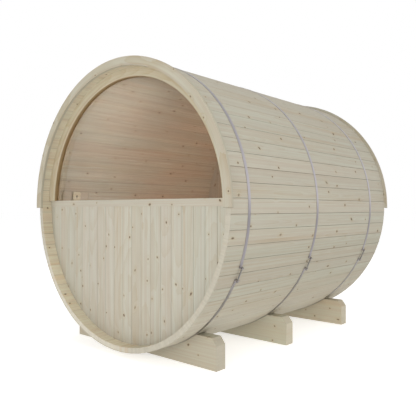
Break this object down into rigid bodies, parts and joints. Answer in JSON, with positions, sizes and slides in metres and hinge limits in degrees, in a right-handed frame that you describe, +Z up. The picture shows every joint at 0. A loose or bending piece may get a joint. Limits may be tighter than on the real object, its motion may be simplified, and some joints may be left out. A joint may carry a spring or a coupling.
{
  "type": "barrel sauna",
  "caption": "Barrel-shaped timber sauna cabin on saddle cradles, with steel bands, a half-moon window in the front end and a plank door in the rear end.",
  "frame": {"origin": "on the ground, under the middle of the drum", "axes": "+Z up, +Y along the drum from the window end to the door end, +X to the right of the window end"},
  "size_m": [1.956, 2.1266, 1.9721],
  "materials": {
    "stave_timber": "planed spruce, bare",
    "end_timber": "planed spruce, bare",
    "cradle_timber": "planed spruce, bare",
    "pull_timber": "smooth, oiled",
    "band_steel": "stainless, dull",
    "bolt_steel": "stainless, bright",
    "window_glass": "bronze-tinted toughened glass"
  },
  "bodies": {
    "root": {"staves_01": "stave_timber", "staves_02": "stave_timber", "staves_03": "stave_timber", "staves_04": "stave_timber", "staves_05": "stave_timber", "staves_06": "stave_timber", "staves_07": "stave_timber", "staves_08": "stave_timber", "staves_09": "stave_timber", "staves_10": "stave_timber", "staves_11": "stave_timber", "staves_12": "stave_timber", "staves_13": "stave_timber", "staves_14": "stave_timber", "staves_15": "stave_timber", "staves_16": "stave_timber", "staves_17": "stave_timber", "cradle_front": "cradle_timber", "cradle_middle": "cradle_timber", "cradle_rear": "cradle_timber", "band_front": "band_steel", "band_middle": "band_steel", "band_rear": "band_steel", "tension_bolt_front": "bolt_steel", "tension_bolt_middle": "bolt_steel", "tension_bolt_rear": "bolt_steel", "arch_front": "end_timber", "arch_rear": "end_timber", "front_boards_left": "end_timber", "front_boards_centre": "end_timber", "front_boards_right": "end_timber", "front_sill": "end_timber", "window_frame": "end_timber", "window_trim": "end_timber", "window_glass": "window_glass", "rear_boards_left": "end_timber", "rear_boards_right": "end_timber", "rear_boards_over_door": "end_timber", "rear_boards_under_door": "end_timber", "door_frame": "end_timber", "door_leaf": "end_timber", "door_ledges": "end_timber", "door_pulls": "pull_timber", "door_hinges": "band_steel", "vent_cover": "end_timber"}
  },
  "joints": []
}
